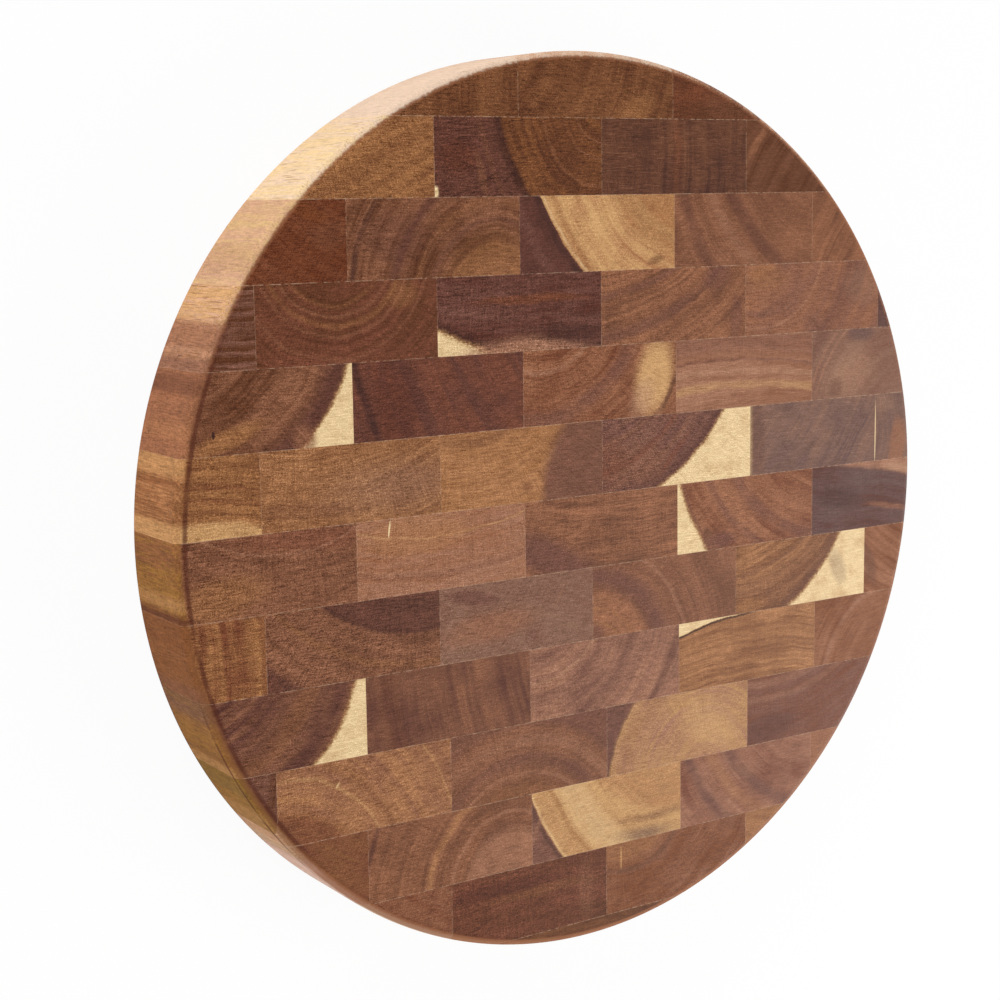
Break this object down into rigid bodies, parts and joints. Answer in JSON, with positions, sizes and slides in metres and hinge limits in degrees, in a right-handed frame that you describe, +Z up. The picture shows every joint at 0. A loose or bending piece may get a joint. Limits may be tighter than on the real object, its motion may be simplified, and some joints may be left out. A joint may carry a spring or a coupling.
{
  "type": "chopping block",
  "caption": "Round end-grain chopping block glued up from rows of hardwood blocks in running bond, with both rims softly rounded over.",
  "frame": {"origin": "centre of the underside", "axes": "+Z up out of the cutting face; +X along the rows of blocks; +Y across the rows"},
  "size_m": [0.36, 0.36, 0.04],
  "materials": {
    "pale_wood": "sanded and oiled, satin",
    "golden_wood": "sanded and oiled, satin",
    "brown_wood": "sanded and oiled, satin",
    "red_wood": "sanded and oiled, satin",
    "dark_wood": "sanded and oiled, satin"
  },
  "bodies": {
    "root": {"far_row_1_left_1": "golden_wood", "far_row_1_left_2": "brown_wood", "far_row_1_left_3": "golden_wood", "far_row_1_right_1": "dark_wood", "far_row_1_right_2": "brown_wood", "far_row_1_right_3": "golden_wood", "far_row_2_left_1": "dark_wood", "far_row_2_left_2": "red_wood", "far_row_2_right_1": "red_wood", "far_row_2_right_2": "golden_wood", "far_row_2_right_3": "brown_wood", "far_row_3_left_1": "dark_wood", "far_row_3_left_2": "brown_wood", "far_row_3_left_3": "dark_wood", "far_row_3_right_1": "red_wood", "far_row_3_right_2": "brown_wood", "far_row_3_right_3": "dark_wood", "far_row_4_left_1": "brown_wood", "far_row_4_left_2": "red_wood", "far_row_4_right_1": "pale_wood", "far_row_4_right_2": "red_wood", "far_row_4_right_3": "brown_wood", "far_row_5_left_1": "dark_wood", "far_row_5_left_2": "pale_wood", "far_row_5_right_1": "dark_wood", "far_row_5_right_2": "red_wood", "far_row_6_left_1": "brown_wood", "far_row_6_right_1": "brown_wood", "far_row_6_right_2": "red_wood", "near_row_1_left_1": "red_wood", "near_row_1_left_2": "brown_wood", "near_row_1_right_1": "brown_wood", "near_row_1_right_2": "red_wood", "near_row_1_right_3": "dark_wood", "near_row_2_left_1": "brown_wood", "near_row_2_left_2": "brown_wood", "near_row_2_left_3": "red_wood", "near_row_2_right_1": "brown_wood", "near_row_2_right_2": "brown_wood", "near_row_2_right_3": "golden_wood", "near_row_3_left_1": "dark_wood", "near_row_3_left_2": "red_wood", "near_row_3_right_1": "red_wood", "near_row_3_right_2": "golden_wood", "near_row_3_right_3": "golden_wood", "near_row_4_left_1": "brown_wood", "near_row_4_left_2": "red_wood", "near_row_4_left_3": "dark_wood", "near_row_4_right_1": "pale_wood", "near_row_4_right_2": "dark_wood", "near_row_5_left_1": "brown_wood", "near_row_5_left_2": "red_wood", "near_row_5_right_1": "pale_wood", "near_row_5_right_2": "brown_wood", "near_row_5_right_3": "golden_wood", "near_row_6_left_1": "dark_wood", "near_row_6_left_2": "golden_wood", "near_row_6_right_1": "golden_wood", "near_row_6_right_2": "golden_wood", "near_row_7_offcuts": "brown_wood"}
  },
  "joints": []
}
